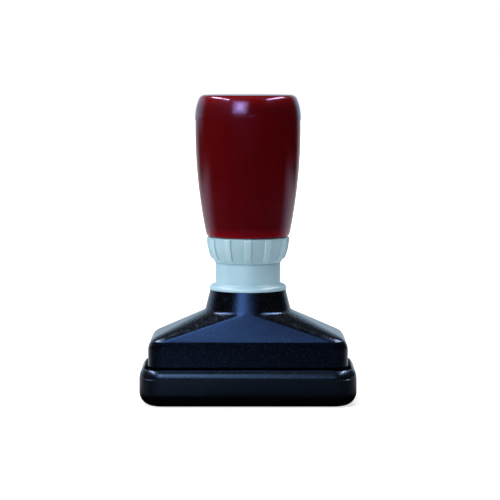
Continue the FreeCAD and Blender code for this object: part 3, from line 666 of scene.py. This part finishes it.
def arc(centre_radius, centre_z, radius, start, end, count):
    """Points of a rounding in a turned outline; angles in degrees, 0 outwards and 90 up."""
    turns = [math.radians(start + (end - start) * step / count) for step in range(count + 1)]
    return [(centre_radius + radius * math.cos(turn), centre_z + radius * math.sin(turn)) for turn in turns]


def turned(name, outline, steps):
    """A piece turned on a lathe: its outline of radius and height is drawn point by point and spun."""
    bpy.ops.object.select_all(action="DESELECT")
    bpy.ops.mesh.primitive_plane_add(size=0.001, location=(0, 0, 0))
    piece = bpy.context.object
    piece.name = name
    bpy.ops.object.mode_set(mode="EDIT")
    bpy.ops.mesh.select_mode(type="VERT")
    bpy.ops.mesh.select_all(action="SELECT")
    bpy.ops.mesh.merge(type="CENTER")
    bpy.ops.mesh.select_all(action="SELECT")
    bpy.ops.transform.translate(value=(outline[0][0], 0, outline[0][1]))
    for here, there in zip(outline, outline[1:]):
        step = (there[0] - here[0], 0, there[1] - here[1])
        bpy.ops.mesh.extrude_region_move(TRANSFORM_OT_translate={"value": step})
    bpy.ops.mesh.select_all(action="SELECT")
    bpy.ops.mesh.spin(steps=steps, angle=2 * math.pi, center=(0, 0, 0), axis=(0, 0, 1))
    bpy.ops.mesh.select_all(action="SELECT")
    bpy.ops.mesh.remove_doubles(threshold=2e-6)
    bpy.ops.mesh.normals_make_consistent(inside=False)
    bpy.ops.mesh.select_all(action="DESELECT")
    return piece


def pale_plastic(name, tone, patch_scale, roughness, dust_amount, tint=None):
    """Pale satin plastic in a tone, with faint flow clouds, a breath of dust and, from the place on
    the piece, a tint."""
    material, tree, output, axes, grain, dust, marks = moulded_plastic(
        name, {"Scale": pale_grain_scale, "Patch Scale": patch_scale}, dust_amount, pale_marks_scale)
    colour = mixed(tree, "MIX", grain["Patches"], shade(tone, 0.95), shade(tone, 1.04))
    colour = laid_over(tree, colour, marks, 0.08, shade(tone, 0.72))
    colour = laid_over(tree, colour, dust, 1.0, pale_dust)
    if tint:
        colour = product(tree, colour, tint(tree, axes))
    add_shader(tree, output, {
        "Specular IOR Level": 0.7, "Base Color": colour,
        "Roughness": roughened(tree, roughness, (grain["Patches"], 0.12), (dust, 0.5)),
        "Normal": bumped(tree, grain["Height"], pale_grain_depth)})
    return material


def painted_ring_shadow(tree, axes):
    """A soft grey band painted on the sleeve just under the ring's foot: a painted shadow of the ring."""
    under_ring = fade(tree, axes["Z"], painted_ring_shadow_z, painted_ring_shadow_z + painted_ring_shadow_height)
    return mixed(tree, "MIX", maths(tree, "MULTIPLY", under_ring, under_ring), white, painted_ring_shadow_grey)


sleeve_plastic = pale_plastic("pale sleeve plastic", pale_blue, 110.0, 0.3, 0.1, painted_ring_shadow)
sleeve_outline = [(rod_hole, web_foot_z), (sleeve_tail_bore, web_foot_z), (sleeve_tail_bore, sleeve_tail_z),
                  (sleeve_tail_radius, sleeve_tail_z), (sleeve_tail_radius, neck_top_z),
                  (flange_radius - flange_bevel, neck_top_z), (flange_radius, neck_top_z + flange_bevel)]
sleeve_outline += arc(flange_radius - flange_lip, flange_top_z - flange_lip, flange_lip, 0, 90, 12)
sleeve_outline += arc(sleeve_radius + flange_fillet, flange_top_z + flange_fillet, flange_fillet,
                      270, 180, 6)
sleeve_outline += arc(sleeve_radius - sleeve_rim, sleeve_top_z - sleeve_rim, sleeve_rim, 0, 90, 3)
sleeve_outline += arc(sleeve_bore + sleeve_rim, sleeve_top_z - sleeve_rim, sleeve_rim, 90, 180, 3)
sleeve_outline += [(sleeve_bore, web_top_z), (rod_hole, web_top_z), (rod_hole, web_foot_z)]
guide_sleeve = turned("sleeve_body", sleeve_outline, 128)
finish_piece(guide_sleeve, sleeve_plastic, "stamp_body", ["guide_sleeve"])

# Inner works: plated steel rod, spring, washers, nut and screws, a pressed-in brass insert, rubber
# washers and plugs, grey nylon core, carrier and stop nut, pale sleeve nut and die frame, and the
# two foams. They keep their CAD shapes.
steel_grey = (0.58, 0.59, 0.6)
brass_yellow = (0.74, 0.55, 0.26)
rubber_black = (0.022, 0.022, 0.024)
ink_foam_black = (0.016, 0.017, 0.03)
die_foam_grey = (0.05, 0.052, 0.07)
nylon_grey = (0.3, 0.32, 0.34)
metal_line_scale = 900.0
metal_line_depth = 0.00001
metal_cloud_scale = 260.0
soft_cloud_scale = 220.0


def metal(name, tone, brushed_along, roughness):
    """Plain metal with the fine lines of turning or drawing along one axis."""
    material, tree, output = new_material(name)
    place = add_node(tree, "ShaderNodeTexCoord").outputs["Object"]
    drawn = add_node(tree, "ShaderNodeMapping", {"Vector": place, "Scale": brushed_along}).outputs[0]
    lines = noise(tree, drawn, metal_line_scale, 3.0)
    clouds = noise(tree, place, metal_cloud_scale, 3.0)
    add_shader(tree, output, {
        "Metallic": 1.0, "Base Color": mixed(tree, "MIX", clouds, shade(tone, 0.82), tone),
        "Roughness": roughened(tree, roughness, (lines, 0.18)),
        "Normal": bumped(tree, lines, metal_line_depth)})
    return material


def soft_stuff(name, tone, pores, depth, roughness):
    """Rubber or foam: dull, dark, with pores of a size."""
    material, tree, output = new_material(name)
    place = add_node(tree, "ShaderNodeTexCoord").outputs["Object"]
    cells = add_node(tree, "ShaderNodeTexVoronoi", {"Vector": place, "Scale": pores}).outputs["Distance"]
    clouds = noise(tree, place, soft_cloud_scale, 3.0)
    colour = mixed(tree, "MIX", clouds, shade(tone, 0.7), shade(tone, 1.2))
    add_shader(tree, output, {
        "Specular IOR Level": 0.3, "Base Color": colour,
        "Roughness": roughened(tree, roughness, (clouds, 0.15)), "Normal": bumped(tree, cells, depth)})
    return material


steel = metal("plated steel", steel_grey, (1.0, 1.0, 0.08), 0.2)
brass = metal("turned brass", brass_yellow, (0.1, 0.1, 1.0), 0.22)
rubber = soft_stuff("black rubber", rubber_black, 3000.0, 0.00002, 0.6)
ink_foam = soft_stuff("ink-soaked foam", ink_foam_black, 1700.0, 0.0001, 0.5)
die_foam = soft_stuff("printing foam", die_foam_grey, 3600.0, 0.00003, 0.62)
grey_plastic = pale_plastic("grey nylon", nylon_grey, 90.0, 0.42, 0.02)
works = {
    steel: ["lower_spring_washer", "return_spring", "plunger_rod", "upper_spring_washer", "carrier_nut",
            "carrier_washer", "die_frame_screws"],
    brass: ["threaded_insert"],
    rubber: ["buffer_washer", "ink_fill_plugs", "ring_o_ring"],
    ink_foam: ["ink_pad"],
    die_foam: ["stamp_die"],
    grey_plastic: ["grip_core", "die_carrier", "stop_nut"],
    sleeve_plastic: ["sleeve_nut", "die_frame"],
}
for material, names in works.items():
    for name in names:
        for material_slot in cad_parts[name].material_slots:
            material_slot.material = material

# Adjusting ring: a pale blue-grey ring with twelve raised ribs for the fingers; it turns under the
# grip, held by a lip on its hub, and its thread moves the stop nut.
ring_recess = 0.0119
ring_recess_foot = 0.00986
ring_bore = 0.00978
ring_foot_z = 0.0417
ring_top_z = 0.0493
ring_rim = 0.00015
ring_ribs = 12
ring_steps = 360
rib_half_angle = 5.0
rib_paint_half_angle = 5.5
rib_height = 0.00045
rib_rounding = 0.00034
rib_foot_z = 0.0426
rib_top_z = 0.0492
hub_radius = 0.0109
hub_bore = 0.00968
hub_top_z = 0.05382
hub_lip_z = 0.05292
hub_lip = 0.0003
thread_foot_z = 0.04762
groove_low_z = 0.05106
groove_high_z = 0.05194
groove_radius = 0.0101
ring_blue = (0.45, 0.66, 0.75)
rib_painted_highlight = (1.09, 1.08, 1.05)
recess_painted_shade = (0.95, 0.955, 0.975)


def barrel_side(foot_radius, foot_z, top_radius, top_z, count):
    """Points up a curved side that leans in at its foot and stands upright at the top."""
    height = top_z - foot_z
    pull = top_radius - foot_radius
    bend = (height ** 2 + pull ** 2) / (2 * pull)
    turns = [math.asin(height / bend) * (1 - step / count) for step in range(count + 1)]
    return [(top_radius - bend * (1 - math.cos(turn)), top_z - bend * math.sin(turn)) for turn in turns]


def rib_painted_light(tree, axes):
    """The ribs are painted paler, a painted highlight on their crests, and the gaps between them darker, a
    painted shade.
    """
    turn = maths(tree, "ARCTAN2", axes["Y"], axes["X"])
    from_rib = maths(tree, "PINGPONG", turn, math.pi / ring_ribs)
    rib = maths(tree, "LESS_THAN", from_rib, math.radians(rib_paint_half_angle))
    return mixed(tree, "MIX", rib, recess_painted_shade, rib_painted_highlight)


ring_plastic = pale_plastic("pale ring plastic", ring_blue, 130.0, 0.32, 0.12, rib_painted_light)
ring_outline = [(ring_bore, ring_foot_z)]
ring_outline += barrel_side(ring_recess_foot, ring_foot_z, ring_recess, ring_top_z, 14)[:-1]
ring_outline += arc(ring_recess - ring_rim, ring_top_z - ring_rim, ring_rim, 0, 90, 2)
ring_outline += [(hub_radius, ring_top_z), (hub_radius, groove_low_z), (groove_radius, groove_low_z),
                 (groove_radius, groove_high_z), (hub_radius, groove_high_z), (hub_radius, hub_lip_z),
                 (hub_radius + hub_lip, hub_lip_z), (hub_radius, hub_top_z), (hub_bore, hub_top_z),
                 (hub_bore, thread_foot_z), (ring_bore, thread_foot_z), (ring_bore, ring_foot_z)]
adjusting_ring = turned("ring_body", ring_outline, ring_steps)


def on_rib(middle, normal):
    """Whether a face of the ring's side belongs to a rib."""
    if not (middle.xy.length > ring_bore and rib_foot_z < middle.z < rib_top_z):
        return False
    if normal.xy.length < 0.5 or normal.xy.dot(middle.xy) < 0:
        return False
    turn = math.degrees(math.atan2(middle.y, middle.x)) + 90
    spread = 360 / ring_ribs
    return abs((turn + spread / 2) % spread - spread / 2) < rib_half_angle


select_faces(adjusting_ring, on_rib)
bpy.ops.mesh.extrude_region_shrink_fatten(TRANSFORM_OT_shrink_fatten={"value": rib_height})
bpy.ops.mesh.region_to_loop()
round_edges(rib_rounding, 4)
finish_piece(adjusting_ring, ring_plastic, "ring", ["adjusting_ring"], 40)

# Grip: a glossy dark red barrel that the palm presses; moulded in one with a soft rim at the top
# and hollow from below for the core and the ring's hub.
grip_foot_z = 0.04955
grip_foot_radius = 0.01235
grip_foot_rounding = 0.0005
grip_flank_z = 0.05025
grip_bulge_radius = 0.01571
grip_bulge_z = 0.08235
grip_crown_z = 0.0846
grip_crown_bend = 0.0145
grip_rim_z = 0.0902
grip_rim = 0.002
grip_mouth = 0.01098
grip_room = 0.01128
grip_bore = 0.0103
grip_room_z = 0.05282
core_foot_z = 0.05552
grip_bore_z = 0.07402
grip_top_middle = 0.006
painted_foot_light_height = 0.00303
painted_rim_light_z = 0.0872
painted_rim_light_full_z = 0.09077
grip_red = (0.085, 0.0003, 0.0003)
painted_foot_light_red = (0.25, 0.0006, 0.003)
painted_rim_light_red = (0.2, 0.0008, 0.0008)
scratched_red = (0.16, 0.02, 0.02)
grip_dust = (0.4, 0.36, 0.35)
grip_reflection = (0.66, 0.46, 1.0)
grip_roughness = 0.14
grip_wave_depth = 0.00002

flank = barrel_side(grip_foot_radius, grip_foot_z, grip_bulge_radius, grip_bulge_z, 30)
foot_lean = math.degrees(math.atan2(flank[2][0] - flank[0][0], flank[2][1] - flank[0][1]))
rim_lean = math.degrees(math.asin((grip_rim_z - grip_crown_z) / grip_crown_bend))
crown = arc(grip_bulge_radius - grip_crown_bend, grip_crown_z, grip_crown_bend, 0, rim_lean, 12)
rim_centre = (crown[-1][0] - grip_rim * math.cos(math.radians(rim_lean)),
              crown[-1][1] - grip_rim * math.sin(math.radians(rim_lean)))
grip_outline = [(0, grip_bore_z), (grip_bore, grip_bore_z), (grip_bore, core_foot_z),
                (grip_room, core_foot_z), (grip_room, grip_room_z), (grip_mouth, grip_room_z),
                (grip_mouth, grip_foot_z)]
grip_outline += arc(grip_foot_radius - grip_foot_rounding, grip_foot_z + grip_foot_rounding,
                    grip_foot_rounding, 270, 360 - foot_lean, 6)
grip_outline += [point for point in flank if point[1] > grip_flank_z]
grip_outline += crown
grip_outline += arc(*rim_centre, grip_rim, rim_lean, 90, 14)[1:]
grip_outline += [(grip_top_middle, grip_outline[-1][1]), (0, grip_outline[-1][1])]

grip_paint, tree, output, axes, grain, dust, marks = moulded_plastic(
    "glossy dark red plastic", {"Scale": 700.0, "Patch Scale": 120.0}, 0.04, 30.0)
# The red is painted brighter at the foot, a painted glow of light bounced up from below, and at the soft
# rim, a painted glow of the light from above. The rim's painted light is squared, so that it gathers at the
# top.
painted_foot_light = fade(tree, axes["Z"], grip_foot_z + painted_foot_light_height, grip_foot_z)
painted_rim_light = fade(tree, axes["Z"], painted_rim_light_z, painted_rim_light_full_z)
colour = mixed(tree, "MIX", grain["Patches"], shade(grip_red, 0.88), shade(grip_red, 1.1))
colour = laid_over(tree, colour, painted_foot_light, 0.7, painted_foot_light_red)
colour = laid_over(tree, colour, painted_rim_light, painted_rim_light, painted_rim_light_red)
colour = laid_over(tree, colour, marks, 0.02, scratched_red)
colour = laid_over(tree, colour, dust, 1.0, grip_dust)
add_shader(tree, output, {
    "Specular IOR Level": 0.75, "Specular Tint": grip_reflection, "Base Color": colour,
    "Roughness": roughened(tree, grip_roughness, (grain["Patches"], 0.06), (marks, 0.05)),
    "Normal": bumped(tree, grain["Patches"], grip_wave_depth)})

grip = turned("grip_barrel", grip_outline, 160)
finish_piece(grip, grip_paint, "plunger", ["grip"])
